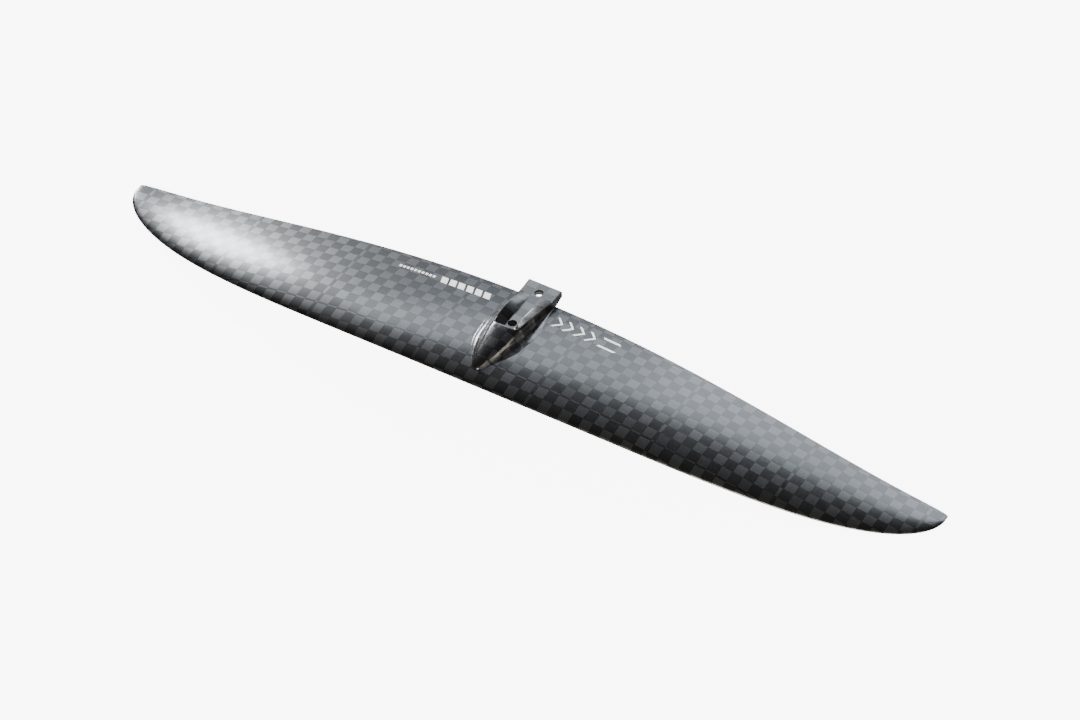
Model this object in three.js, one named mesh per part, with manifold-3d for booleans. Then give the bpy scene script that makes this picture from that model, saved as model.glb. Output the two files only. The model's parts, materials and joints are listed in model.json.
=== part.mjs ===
// Carbon hydrofoil front wing with a moulded cradle for the fuselage.
// Millimetres. +X runs along the span to port, +Y aft, +Z up.
// The origin lies on the cradle's flat strip, midway between the two bolt bores.
import * as THREE from 'three';
import { mergeVertices } from 'three/addons/utils/BufferGeometryUtils.js';
import Module from 'manifold-3d';

const wasm = await Module();
wasm.setup();

// Planform
const span = 900;
const rootChord = 129.6;
const midChordPower = 1.891;
const tipChordPower = 2.367;
const outerTaper = 0.103;
const quarterSweep = [3.0, -8.6, 10.2, 1.2];
const aftShare = 0.162;
const tipCut = 0.9985;

// Droop towards the tips, and washout
const droop = [-70.1, 4.1, 20.5];
const rootTwist = 0.3;
const addedTipTwist = 0.46;

// Section
const thicknessRatio = 0.098;
const camberRatio = 0.004;
const edgeHalf = 0.35;
const padAboveChord = 9.1;

// Laminate and what it holds
const skin = 1.0;
const bondLine = 0.3;
const leastCoreHalf = 0.45;
const centreBlockHalf = 30;
const noseFillerWidth = 6;
const tailFillerWidth = 8;
const sparPlace = 0.33;
const sparRootWidth = 26;
const sparTipWidth = 12;
const sparCapThickness = 0.8;
const shearWebWidth = 3;
const leastWebHalf = 0.65;
const leastTipHalf = 2.0;

// Cradle
const cradleHalfWidth = 18.25;
const cradleRear = 36.5;
const cradleFrontWall = -38.5;
const crownHeight = 9.2;
const shoulderWidth = 16.5;
const shoulderHeight = 5;
const wallLean = 1.5;
const leanFadeFrom = 10;
const noseSetback = 14.6;
const noseFullWidth = -30;
const nosePlanPower = 0.4;
const noseCrownPower = 0.55;
const filletReach = 9;
const leastFillet = 0.5;
const filletRamp = 40;
const filletRise = 0.5;
const stripHalfWidth = 5;
const flankTwist = 0.0168;
const flankEnd = 19.5;
const flankEase = 0.03;
const leastFlank = 0.002;
const tailRise = 4;

// Bolts
const boltSpacing = 48.2;
const boreRadius = 4.15;
const seatRadius = 9;
const seatHeight = 4.2;
const leadIn = 0.3;
const frontSeatFace = -12.2;
const rearSeatFace = -6.4;

// Fineness of the facets
const halfSpanSteps = 14;
const chordSteps = 13;
const arcSteps = 4;
const boreSides = 24;
const leastEdge = 0.02;

const halfSpan = span / 2;
const { clamp, lerp, smoothstep, degToRad } = THREE.MathUtils;

function eta(x) {
  return Math.abs(x) / halfSpan;
}

function chord(x) {
  const e = eta(x);
  const body = Math.pow(1 - Math.pow(e, midChordPower), 1 / tipChordPower);
  return rootChord * body * (1 - outerTaper * e * e);
}

function referenceLine(x) {
  const e = eta(x);
  const [atRoot, second, fourth, eighth] = quarterSweep;
  return atRoot + second * e ** 2 + fourth * e ** 4 + eighth * e ** 8;
}

function leadingEdge(x) {
  return referenceLine(x) - (1 - aftShare) * chord(x);
}

function trailingEdge(x) {
  return referenceLine(x) + aftShare * chord(x);
}

function chordPlane(x) {
  const e = eta(x);
  return droop[0] * e ** 2 + droop[1] * e ** 4 + droop[2] * e ** 6 - padAboveChord;
}

function halfThickness(x, s) {
  const c = chord(x);
  const shape = 0.2969 * Math.sqrt(s) - 0.126 * s - 0.3516 * s ** 2 + 0.2843 * s ** 3 - 0.1036 * s ** 4;
  return Math.max(edgeHalf, 5 * thicknessRatio * c * shape);
}

function camber(x, s) {
  return camberRatio * chord(x) * 4 * s * (1 - s);
}

// A point of the section at x: distance d behind the leading edge, height z over the chord line.
function sectionPoint(x, d, z) {
  const e = eta(x);
  const twist = degToRad(rootTwist + addedTipTwist * e * e);
  const y = leadingEdge(x) + d;
  return new THREE.Vector2(y, chordPlane(x) + z + (y - referenceLine(x)) * Math.sin(twist));
}

// A point at the given depth under the upper (side 1) or lower (side -1) surface.
function surfacePoint(x, d, side, depth) {
  const s = clamp(d / chord(x), 0, 1);
  return sectionPoint(x, d, camber(x, s) + side * (halfThickness(x, s) - depth));
}

function surfacePath(x, from, to, side, depth, steps) {
  const path = [];
  for (let k = 0; k <= steps; k += 1) {
    const along = from + (to - from) * (1 - Math.cos(Math.PI * k / steps)) / 2;
    path.push(surfacePoint(x, along, side, depth));
  }
  return path;
}

// Distance behind the leading edge where the wing is just thick enough to hold a core.
function cavityEdge(x, thin, thick) {
  let outside = thin;
  let inside = thick;
  for (let k = 0; k < 30; k += 1) {
    const middle = (outside + inside) / 2;
    if (halfThickness(x, middle) < skin + bondLine + leastCoreHalf) {
      outside = middle;
    } else {
      inside = middle;
    }
  }
  return inside * chord(x);
}

function cavityFront(x) {
  return cavityEdge(x, 0, 0.3);
}

function cavityRear(x) {
  return cavityEdge(x, 1, 0.3);
}

function sparMiddle(x) {
  return sparPlace * chord(x);
}

// Distance from the middle of the span where the section at the spar has thinned to a half height.
function stationOfHalf(height) {
  let inboard = 0;
  let outboard = tipCut * halfSpan;
  for (let k = 0; k < 30; k += 1) {
    const middle = (inboard + outboard) / 2;
    if (halfThickness(middle, sparPlace) > height) {
      inboard = middle;
    } else {
      outboard = middle;
    }
  }
  return inboard;
}

const coreDepth = skin + bondLine;
const underCapDepth = coreDepth + sparCapThickness + bondLine;
const coreStart = centreBlockHalf + bondLine;
const coreEnd = stationOfHalf(underCapDepth + leastWebHalf);
const tipFillerEnd = stationOfHalf(leastTipHalf);
const cavityEnd = tipFillerEnd + bondLine;

function sparHalf(x) {
  return lerp(sparRootWidth, sparTipWidth, Math.abs(x) / coreEnd) / 2;
}

// Span stations, closer together towards the tips, with every place where a piece ends.
const pieceEnds = [
  0,
  centreBlockHalf,
  coreStart,
  coreEnd,
  coreEnd + bondLine,
  tipFillerEnd,
  cavityEnd,
  tipCut * halfSpan,
];

function halfStations() {
  const stations = [...pieceEnds];
  for (let k = 1; k < halfSpanSteps; k += 1) {
    const x = halfSpan * Math.sin(Math.PI / 2 * k / halfSpanSteps);
    if (pieceEnds.every((end) => Math.abs(end - x) > 3)) {
      stations.push(x);
    }
  }
  return stations.sort((a, b) => a - b);
}

const portStations = halfStations();
const allStations = [...portStations.slice(1).reverse().map((x) => -x), ...portStations];

function stationsBetween(from, to) {
  return allStations.filter((x) => x >= from - 1e-6 && x <= to + 1e-6);
}

// A closed body through outlines at a row of stations, with a flat cap at each end.
function loft(stations, outline, place) {
  const rings = stations.map((station) => outline(station));
  const count = rings[0].length;
  const positions = [];
  rings.forEach((ring, row) => {
    ring.forEach((point) => positions.push(...place(stations[row], point).toArray()));
  });
  const triangles = [];
  for (let row = 0; row + 1 < rings.length; row += 1) {
    for (let k = 0; k < count; k += 1) {
      const a = row * count + k;
      const b = row * count + (k + 1) % count;
      triangles.push([a, b, b + count], [a, b + count, a + count]);
    }
  }
  const lastRow = (rings.length - 1) * count;
  const turn = THREE.ShapeUtils.isClockWise(rings[0]) ? -1 : 1;
  for (const [ring, offset, flip] of [[rings[0], 0, true], [rings.at(-1), lastRow, false]]) {
    for (const [a, b, c] of THREE.ShapeUtils.triangulateShape(ring, [])) {
      const face = [offset + a, offset + b, offset + c];
      triangles.push(flip === (turn > 0) ? face.reverse() : face);
    }
  }
  return closedGeometry(positions, triangles);
}

function signedVolume(positions, triangles) {
  const corner = (k) => new THREE.Vector3().fromArray(positions, 3 * k);
  return triangles.reduce((sum, [a, b, c]) => sum + corner(a).dot(corner(b).cross(corner(c))) / 6, 0);
}

function closedGeometry(positions, triangles) {
  const outward = signedVolume(positions, triangles) > 0;
  const index = triangles.flatMap(([a, b, c]) => (outward ? [a, b, c] : [a, c, b]));
  const geometry = new THREE.BufferGeometry();
  geometry.setAttribute('position', new THREE.Float32BufferAttribute(positions, 3));
  geometry.setIndex(index);
  return geometry;
}

function toSolid(geometry) {
  const bare = geometry.clone();
  bare.deleteAttribute('normal');
  bare.deleteAttribute('uv');
  const merged = mergeVertices(bare, 1e-4);
  return new wasm.Manifold(new wasm.Mesh({
    numProp: 3,
    vertProperties: new Float32Array(merged.attributes.position.array),
    triVerts: new Uint32Array(merged.index.array),
  }));
}

// Slivers shorter than leastEdge are closed up, so that every corner stays distinct in 32-bit numbers.
function toGeometry(solid) {
  const mesh = solid.simplify(leastEdge).getMesh();
  const geometry = new THREE.BufferGeometry();
  geometry.setAttribute('position', new THREE.BufferAttribute(new Float32Array(mesh.vertProperties), 3));
  geometry.setIndex(new THREE.BufferAttribute(new Uint32Array(mesh.triVerts), 1));
  return geometry;
}

function alongSpan(x, point) {
  return new THREE.Vector3(x, point.x, point.y);
}

function alongChord(y, point) {
  return new THREE.Vector3(point.x, y, point.y);
}

// The wing's upper or lower half, solid as far as the parting plane.
function wingHalf(side) {
  const outline = (x) => [
    ...surfacePath(x, 0, chord(x), side, 0, chordSteps),
    sectionPoint(x, chord(x), side * bondLine / 2),
    sectionPoint(x, 0, side * bondLine / 2),
  ];
  return toSolid(loft(allStations, outline, alongSpan));
}

function bandOutline(bands) {
  return (x) => {
    const path = (side) => bands(x).flatMap(([from, to, depth, steps]) => (
      surfacePath(x, from, to, side, depth, steps)));
    return [...path(1), ...path(-1).reverse()];
  };
}

// The space between the skins.
function cavity() {
  const bands = (x) => [[cavityFront(x), cavityRear(x), skin, chordSteps]];
  return toSolid(loft(stationsBetween(-cavityEnd, cavityEnd), bandOutline(bands), alongSpan));
}

function bore(y) {
  const length = 60;
  const cylinder = new THREE.CylinderGeometry(boreRadius, boreRadius, length, boreSides);
  cylinder.rotateX(Math.PI / 2);
  cylinder.translate(0, y, 0);
  return toSolid(cylinder);
}

function seatPocket(y, face) {
  const depth = 30;
  const radius = seatRadius + bondLine;
  const cylinder = new THREE.CylinderGeometry(radius, radius, depth, boreSides * 2);
  cylinder.rotateX(Math.PI / 2);
  cylinder.translate(0, y, face + seatHeight + bondLine - depth / 2);
  return toSolid(cylinder);
}

const bolts = [
  { name: 'front', y: -boltSpacing / 2, face: frontSeatFace },
  { name: 'rear', y: boltSpacing / 2, face: rearSeatFace },
];

function drilled(solid) {
  return bolts.reduce((left, bolt) => (
    left.subtract(bore(bolt.y)).subtract(seatPocket(bolt.y, bolt.face))), solid);
}

function skinShell(side) {
  return toGeometry(drilled(wingHalf(side).subtract(cavity())));
}

function centreBlock() {
  const bands = (x) => {
    const capFront = sparMiddle(x) - sparHalf(x) - bondLine;
    const capRear = sparMiddle(x) + sparHalf(x) + bondLine;
    return [
      [cavityFront(x) + bondLine, capFront, coreDepth, 5],
      [capFront, capRear, underCapDepth, 4],
      [capRear, cavityRear(x) - bondLine, coreDepth, 6],
    ];
  };
  const block = loft(stationsBetween(-centreBlockHalf, centreBlockHalf), bandOutline(bands), alongSpan);
  return toGeometry(drilled(toSolid(block)));
}

// A piece of one wing: port runs from its start to its end, starboard is its mirror image.
function wingPiece(side, from, to, bands) {
  const [low, high] = side > 0 ? [from, to] : [-to, -from];
  return loft(stationsBetween(low, high), bandOutline(bands), alongSpan);
}

function noseFiller(side) {
  return wingPiece(side, coreStart, coreEnd, (x) => {
    const start = cavityFront(x) + bondLine;
    return [[start, start + noseFillerWidth, coreDepth, 4]];
  });
}

function tailFiller(side) {
  return wingPiece(side, coreStart, coreEnd, (x) => {
    const end = cavityRear(x) - bondLine;
    return [[end - tailFillerWidth, end, coreDepth, 3]];
  });
}

function frontCore(side) {
  return wingPiece(side, coreStart, coreEnd, (x) => {
    const start = cavityFront(x) + bondLine + noseFillerWidth + bondLine;
    const capFront = sparMiddle(x) - sparHalf(x) - bondLine;
    const web = sparMiddle(x) - shearWebWidth / 2 - bondLine;
    return [[start, capFront, coreDepth, 4], [capFront, web, underCapDepth, 3]];
  });
}

function rearCore(side) {
  return wingPiece(side, coreStart, coreEnd, (x) => {
    const web = sparMiddle(x) + shearWebWidth / 2 + bondLine;
    const capRear = sparMiddle(x) + sparHalf(x) + bondLine;
    const end = cavityRear(x) - bondLine - tailFillerWidth - bondLine;
    return [[web, capRear, underCapDepth, 3], [capRear, end, coreDepth, 5]];
  });
}

function shearWeb(side) {
  return wingPiece(side, coreStart, coreEnd, (x) => {
    const half = shearWebWidth / 2;
    return [[sparMiddle(x) - half, sparMiddle(x) + half, underCapDepth, 1]];
  });
}

function tipFiller(side) {
  return wingPiece(side, coreEnd + bondLine, tipFillerEnd, (x) => (
    [[cavityFront(x) + bondLine, cavityRear(x) - bondLine, coreDepth, 8]]));
}

// The unidirectional cap under one skin, from tip to tip.
function sparCap(side) {
  const outline = (x) => {
    const from = sparMiddle(x) - sparHalf(x);
    const to = sparMiddle(x) + sparHalf(x);
    const outer = surfacePath(x, from, to, side, coreDepth, 4);
    const inner = surfacePath(x, from, to, side, coreDepth + sparCapThickness, 4);
    return [...outer, ...inner.reverse()];
  };
  return loft(stationsBetween(-coreEnd, coreEnd), outline, alongSpan);
}

// Cradle: nose fairing, walls and tail in one moulding.
const noseTip = leadingEdge(0) + noseSetback;
const rootTrailingEdge = trailingEdge(0);

function wingTop(x, y) {
  return surfacePoint(x, y - leadingEdge(x), 1, 0).y;
}

function cradleUnderside(y) {
  const slope = clamp((y - rootTrailingEdge) / (cradleRear - rootTrailingEdge), 0, 1);
  return -padAboveChord + tailRise * slope;
}

function noseShare(y) {
  return clamp((cradleFrontWall - y) / (cradleFrontWall - noseTip), 0, 1);
}

function wallHalfWidth(y) {
  const share = clamp((noseFullWidth - y) / (noseFullWidth - noseTip), 0, 1);
  return cradleHalfWidth * Math.pow(1 - share, nosePlanPower);
}

// How far the side wall leans in between its foot and its shoulder.
function leanAt(y) {
  const fade = 1 - smoothstep(y, leanFadeFrom, cradleRear);
  return wallLean * fade * wallHalfWidth(y) / cradleHalfWidth;
}

function filletAt(y) {
  const grow = smoothstep(y, noseTip, noseTip + filletRamp);
  const fade = 1 - smoothstep(y, noseFullWidth, rootTrailingEdge);
  return leastFillet + (filletReach - leastFillet) * grow * fade;
}

function quarterArc(centreX, centreZ, radiusX, radiusZ, start) {
  const points = [];
  for (let k = 0; k <= arcSteps; k += 1) {
    const angle = start + Math.PI / 2 * k / arcSteps;
    points.push(new THREE.Vector2(
      centreX + radiusX * Math.cos(angle),
      centreZ + radiusZ * Math.sin(angle),
    ));
  }
  return points;
}

function cradleOutline(y) {
  const half = wallHalfWidth(y);
  const reach = filletAt(y);
  const behind = y > rootTrailingEdge;
  const foot = behind ? cradleUnderside(y) + 1 : wingTop(half + reach, y);
  const rise = reach * filletRise;
  const share = noseShare(y);
  const top = lerp(foot, crownHeight, Math.pow(1 - share, noseCrownPower)) + 0.2 * share;
  const upperHalf = half - leanAt(y);
  const radiusX = Math.min(lerp(shoulderWidth, half, Math.pow(share, 0.7)), 0.98 * upperHalf);
  const radiusZ = Math.max(0.1, Math.min(shoulderHeight, 0.98 * (top - foot - rise)));
  const fillet = quarterArc(half + reach, foot + rise, reach, rise, Math.PI).reverse();
  const shoulder = quarterArc(upperHalf - radiusX, top - radiusZ, radiusX, radiusZ, 0);
  const right = [new THREE.Vector2(half + reach, cradleUnderside(y)), ...fillet, ...shoulder];
  const left = right.map((point) => new THREE.Vector2(-point.x, point.y)).reverse();
  return [...right, ...left];
}

function rowOfStations(from, to, steps) {
  return Array.from({ length: steps + 1 }, (_, k) => lerp(from, to, k / steps));
}

function flankSlope(y) {
  const slope = flankTwist * (flankEnd - y);
  const eased = (slope + Math.hypot(slope, flankEase)) / 2;
  return Math.max(leastFlank, eased);
}

// The room that the fuselage takes: a flat strip with a flank rising on each side of it.
function fuselageRoom() {
  const reach = 20;
  const height = 40;
  const outline = (y) => {
    const right = [
      new THREE.Vector2(stripHalfWidth, 0),
      new THREE.Vector2(stripHalfWidth + reach, reach * flankSlope(y)),
      new THREE.Vector2(stripHalfWidth + reach, height),
    ];
    const left = right.map((point) => new THREE.Vector2(-point.x, point.y)).reverse();
    return [...right, ...left];
  };
  return toSolid(loft(rowOfStations(cradleFrontWall, cradleRear + 5, 18), outline, alongChord));
}

// The wing with a bond line all round, which the cradle is cut back to.
function wingEnvelope() {
  const outline = (x) => [
    ...surfacePath(x, 0, chord(x), 1, -bondLine, chordSteps),
    surfacePoint(x, chord(x) + bondLine, 1, -bondLine),
    surfacePoint(x, chord(x) + bondLine, -1, -bondLine),
    ...surfacePath(x, 0, chord(x), -1, -bondLine, chordSteps).reverse(),
  ];
  return toSolid(loft(stationsBetween(-0.25 * halfSpan, 0.25 * halfSpan), outline, alongSpan));
}

function fuselageCradle() {
  const nose = Array.from({ length: 12 }, (_, k) => (
    lerp(noseTip, cradleFrontWall, 1 - Math.cos(Math.PI / 2 * (k + 0.15) / 12))));
  const body = rowOfStations(cradleFrontWall, rootTrailingEdge, 10);
  const tail = [rootTrailingEdge + bondLine, cradleRear];
  const block = toSolid(loft([...nose, ...body, ...tail], cradleOutline, alongChord));
  return toGeometry(drilled(block.subtract(fuselageRoom()).subtract(wingEnvelope())));
}

function boltSeat(bolt) {
  const profile = [
    new THREE.Vector2(boreRadius, seatHeight),
    new THREE.Vector2(boreRadius, leadIn),
    new THREE.Vector2(boreRadius + leadIn, 0),
    new THREE.Vector2(seatRadius, 0),
    new THREE.Vector2(seatRadius, seatHeight),
    new THREE.Vector2(boreRadius, seatHeight),
  ];
  const seat = new THREE.LatheGeometry(profile, boreSides);
  seat.rotateX(Math.PI / 2);
  seat.translate(0, bolt.y, bolt.face);
  return toGeometry(toSolid(seat));
}

const carbonSkin = { color: 0x2b2d30, roughness: 0.32, metalness: 0.1 };
const solidCarbon = { color: 0x1b1c1e, roughness: 0.5, metalness: 0.05 };
const unidirectionalCarbon = { color: 0x26282b, roughness: 0.45, metalness: 0.1 };
const foam = { color: 0xd8cfae, roughness: 0.95, metalness: 0 };
const stainless = { color: 0xb9bcc0, roughness: 0.3, metalness: 1 };

const wing = new THREE.Group();
wing.name = 'hydrofoil_front_wing';

function addPiece(name, geometry, finish) {
  const mesh = new THREE.Mesh(geometry, new THREE.MeshStandardMaterial(finish));
  mesh.name = name;
  wing.add(mesh);
}

addPiece('upper_skin', skinShell(1), carbonSkin);
addPiece('lower_skin', skinShell(-1), carbonSkin);
addPiece('fuselage_cradle', fuselageCradle(), carbonSkin);
addPiece('centre_block', centreBlock(), solidCarbon);
addPiece('upper_spar_cap', sparCap(1), unidirectionalCarbon);
addPiece('lower_spar_cap', sparCap(-1), unidirectionalCarbon);
for (const [hand, side] of [['port', 1], ['starboard', -1]]) {
  addPiece(`shear_web_${hand}`, shearWeb(side), solidCarbon);
  addPiece(`front_core_${hand}`, frontCore(side), foam);
  addPiece(`rear_core_${hand}`, rearCore(side), foam);
  addPiece(`leading_edge_filler_${hand}`, noseFiller(side), unidirectionalCarbon);
  addPiece(`trailing_edge_filler_${hand}`, tailFiller(side), unidirectionalCarbon);
  addPiece(`tip_filler_${hand}`, tipFiller(side), solidCarbon);
}
for (const bolt of bolts) {
  addPiece(`bolt_seat_${bolt.name}`, boltSeat(bolt), stainless);
}

export default wing;
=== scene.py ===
# %% [markdown]
# # A carbon hydrofoil front wing
# The wing is one rigid carbon moulding: two skins over a foam core, and a cradle in the middle that a
# fuselage is bolted into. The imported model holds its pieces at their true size. This lesson gives the
# visible ones a smooth surface and a spread-tow carbon finish, and leaves the inner ones where they are.
# Lengths are in metres, and a value in millimetres is multiplied by MM where it becomes a place.

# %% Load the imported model
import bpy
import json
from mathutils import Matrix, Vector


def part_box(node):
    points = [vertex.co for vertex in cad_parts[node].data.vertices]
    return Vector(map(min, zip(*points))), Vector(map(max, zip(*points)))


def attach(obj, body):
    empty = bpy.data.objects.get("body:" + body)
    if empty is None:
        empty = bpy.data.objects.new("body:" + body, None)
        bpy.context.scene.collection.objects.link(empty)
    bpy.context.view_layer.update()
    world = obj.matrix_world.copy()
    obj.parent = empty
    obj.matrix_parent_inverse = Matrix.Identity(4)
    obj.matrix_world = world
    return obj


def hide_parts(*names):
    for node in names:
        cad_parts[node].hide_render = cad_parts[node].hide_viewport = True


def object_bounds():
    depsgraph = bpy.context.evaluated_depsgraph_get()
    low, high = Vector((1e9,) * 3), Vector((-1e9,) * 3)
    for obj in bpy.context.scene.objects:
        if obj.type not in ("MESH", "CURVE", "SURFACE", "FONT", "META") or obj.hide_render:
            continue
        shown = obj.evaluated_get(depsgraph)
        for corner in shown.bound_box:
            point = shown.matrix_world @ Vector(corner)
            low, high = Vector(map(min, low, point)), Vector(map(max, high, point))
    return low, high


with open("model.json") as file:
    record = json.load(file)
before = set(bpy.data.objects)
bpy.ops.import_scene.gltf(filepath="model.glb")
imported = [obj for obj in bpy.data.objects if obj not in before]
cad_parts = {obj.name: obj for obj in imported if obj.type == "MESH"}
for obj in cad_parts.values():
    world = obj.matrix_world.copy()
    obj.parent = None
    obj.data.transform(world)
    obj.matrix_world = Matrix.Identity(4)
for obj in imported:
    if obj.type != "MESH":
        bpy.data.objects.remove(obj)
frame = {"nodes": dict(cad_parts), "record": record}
cad_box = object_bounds()
print("pieces in the frame:", len(frame["nodes"]))

# %% Libraries
import json
import math

import bmesh
import bpy
import numpy as np
from mathutils import Matrix, Vector

MM = 0.001

# %% [markdown]
# ## The camera
# A camera can be placed by its corners in space, but an azimuth and an elevation are easier to read. This
# one looks down from ahead and to port. A long lens from five metres keeps the span almost free of
# perspective. Two aims slide the camera across its line of sight, and a small roll tilts the picture.

# %% Camera
CAMERA_AZIMUTH = math.radians(32.084)
CAMERA_ELEVATION = math.radians(43.906)
CAMERA_ROLL = math.radians(-1.127)
CAMERA_DISTANCE = 4.914
CAMERA_LENS = 173.6
SENSOR_WIDTH = 36.0
AIM_RIGHT = 12.57 * MM
AIM_UP = -49.29 * MM


def sphere_direction(azimuth, elevation):
    """Unit vector from the wing towards a place on the sphere around it."""
    level = math.cos(elevation)
    return Vector((math.sin(azimuth) * level, -math.cos(azimuth) * level, math.sin(elevation)))


def make_camera():
    back = sphere_direction(CAMERA_AZIMUTH, CAMERA_ELEVATION)
    right = Vector((math.cos(CAMERA_AZIMUTH), math.sin(CAMERA_AZIMUTH), 0.0))
    up = back.cross(right)
    place = right * AIM_RIGHT + up * AIM_UP + back * CAMERA_DISTANCE
    rolled_right = right * math.cos(CAMERA_ROLL) + up * math.sin(CAMERA_ROLL)
    rolled_up = back.cross(rolled_right)
    data = bpy.data.cameras.new("camera")
    data.lens = CAMERA_LENS
    data.sensor_width = SENSOR_WIDTH
    camera = bpy.data.objects.new("camera", data)
    axes = Matrix((rolled_right, rolled_up, back)).transposed().to_4x4()
    camera.matrix_world = Matrix.Translation(place) @ axes
    bpy.context.scene.collection.objects.link(camera)
    bpy.context.scene.camera = camera
    return camera


print("camera at", [round(value, 3) for value in make_camera().location])

# %% [markdown]
# ## Shader maths
# Every finish here is procedural. Nodes can be added and linked one by one, which is long and hard to
# read. Here a small class wraps a socket so that a mask can be written as an ordinary expression, and
# one method adds any other node with its settings and its inputs.


# %% Sockets as numbers
class Wire:
    """A node's output, with the arithmetic that a mask needs."""

    def __init__(self, bench, socket):
        self.bench = bench
        self.socket = socket

    def math(self, operation, *others):
        values = dict(enumerate((self, *others)))
        return self.bench.add("ShaderNodeMath", {"operation": operation}, values)

    def __add__(self, other):
        return self.math("ADD", other)

    def __radd__(self, other):
        return self.math("ADD", other)

    def __sub__(self, other):
        return self.math("SUBTRACT", other)

    def __rsub__(self, other):
        return self.bench.add("ShaderNodeMath", {"operation": "SUBTRACT"}, {0: other, 1: self})

    def __mul__(self, other):
        return self.math("MULTIPLY", other)

    def __rmul__(self, other):
        return self.math("MULTIPLY", other)

    def __truediv__(self, other):
        return self.math("DIVIDE", other)

    def __gt__(self, other):
        return self.math("GREATER_THAN", other)

    def __lt__(self, other):
        return self.math("LESS_THAN", other)

    def __abs__(self):
        return self.math("ABSOLUTE")

    def floor(self):
        return self.math("FLOOR")

    def wrap(self, period):
        return self.math("FLOORED_MODULO", period)

    def least(self, other):
        return self.math("MINIMUM", other)

    def most(self, other):
        return self.math("MAXIMUM", other)


# %% One way to add a node
class Bench:
    """A material's node tree, with one method that adds any node."""

    def __init__(self, name):
        self.material = bpy.data.materials.new(name)
        self.material.use_nodes = True
        self.tree = self.material.node_tree
        self.tree.nodes.clear()

    def add(self, kind, settings=None, inputs=None, output=0):
        node = self.tree.nodes.new(kind)
        for key, value in (settings or {}).items():
            setattr(node, key, value)
        for key, value in (inputs or {}).items():
            if isinstance(value, Wire):
                self.tree.links.new(value.socket, node.inputs[key])
            else:
                node.inputs[key].default_value = value
        return Wire(self, node.outputs[output])

    def mix(self, factor, first, second):
        settings = {"data_type": "RGBA", "clamp_factor": True}
        return self.add("ShaderNodeMix", settings, {0: factor, 6: first, 7: second}, 2)

    def relief(self, height, strength, depth):
        bump = {"Strength": strength, "Distance": depth, "Height": height}
        return self.add("ShaderNodeBump", {}, bump, "Normal")

    def surface(self, **inputs):
        named = {key.replace("_", " ").title(): value for key, value in inputs.items()}
        named = {("IOR" if key == "Ior" else key): value for key, value in named.items()}
        shader = self.add("ShaderNodeBsdfPrincipled", {}, named)
        output = self.tree.nodes.new("ShaderNodeOutputMaterial")
        self.tree.links.new(shader.socket, output.inputs["Surface"])
        return self.material


def grey(value, warmth=0.0):
    """A linear grey, a little warmer or cooler."""
    return (value * (1 + warmth), value, value * (1 - warmth), 1.0)


print("shader helpers ready")


# %% [markdown]
# ## The stage
# The wing lies over a pale floor that sweeps up into a cove, with soft lights around it. One big lamp would
# do for a matt object, but a gloss finish mirrors its surroundings. So each light is placed by the way that
# a part of the wing reflects. A small strong box behind the starboard tip makes the hot spot, and
# wide panels behind make the long grey band. Warm panels in front and to port draw the lines on the cradle.
# The room overhead is dim, so the leading edge stays almost black. The floor glows and is seen only by the
# camera, so that it neither lights the wing nor shows in it.

# %% Floor
FLOOR_RADIUS = 7.0
COVE_RADIUS = 2.5
FLOOR_DROP = 0.0005
FLOOR_GLOW = 8.0
FLOOR_GREY = 0.8
FLOOR_ROUGHNESS = 0.8
FLOOR_SPOKES = 64
COVE_RINGS = 12


def floor_profile(low):
    """Radius and height pairs: the edge of the flat floor, and then the cove that sweeps up from it."""
    rings = []
    for step in range(COVE_RINGS + 1):
        angle = math.pi / 2 * step / COVE_RINGS
        radius = FLOOR_RADIUS + COVE_RADIUS * math.sin(angle)
        rings.append((radius, low + COVE_RADIUS * (1 - math.cos(angle))))
    return rings


def make_floor():
    low = cad_box[0][2] - FLOOR_DROP
    points = [(0.0, 0.0, low)]
    for radius, height in floor_profile(low):
        for spoke in range(FLOOR_SPOKES):
            angle = 2 * math.pi * spoke / FLOOR_SPOKES
            points.append((radius * math.cos(angle), radius * math.sin(angle), height))
    faces = []
    for spoke in range(FLOOR_SPOKES):
        beside = (spoke + 1) % FLOOR_SPOKES
        faces.append((0, 1 + spoke, 1 + beside))
        for ring in range(COVE_RINGS):
            inner = 1 + ring * FLOOR_SPOKES
            outer = inner + FLOOR_SPOKES
            faces.append((inner + spoke, outer + spoke, outer + beside, inner + beside))
    mesh = bpy.data.meshes.new("floor")
    mesh.from_pydata(points, [], faces)
    mesh.shade_smooth()
    floor = bpy.data.objects.new("floor", mesh)
    floor.visible_glossy = False
    floor.visible_diffuse = False
    floor.visible_shadow = False
    bpy.context.scene.collection.objects.link(floor)
    bench = Bench("pale_floor")
    mesh.materials.append(bench.surface(base_color=grey(FLOOR_GREY), roughness=FLOOR_ROUGHNESS,
                                        emission_color=grey(1.0), emission_strength=FLOOR_GLOW))


make_floor()
print("floor at z =", round(cad_box[0][2] - FLOOR_DROP, 4))

# %% Sky
SKY_HORIZON = 0.25
SKY_OVERHEAD = 0.05
SKY_STEPS = ((0.0, SKY_HORIZON), (0.10, SKY_HORIZON), (0.34, SKY_OVERHEAD), (1.0, SKY_OVERHEAD))


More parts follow.
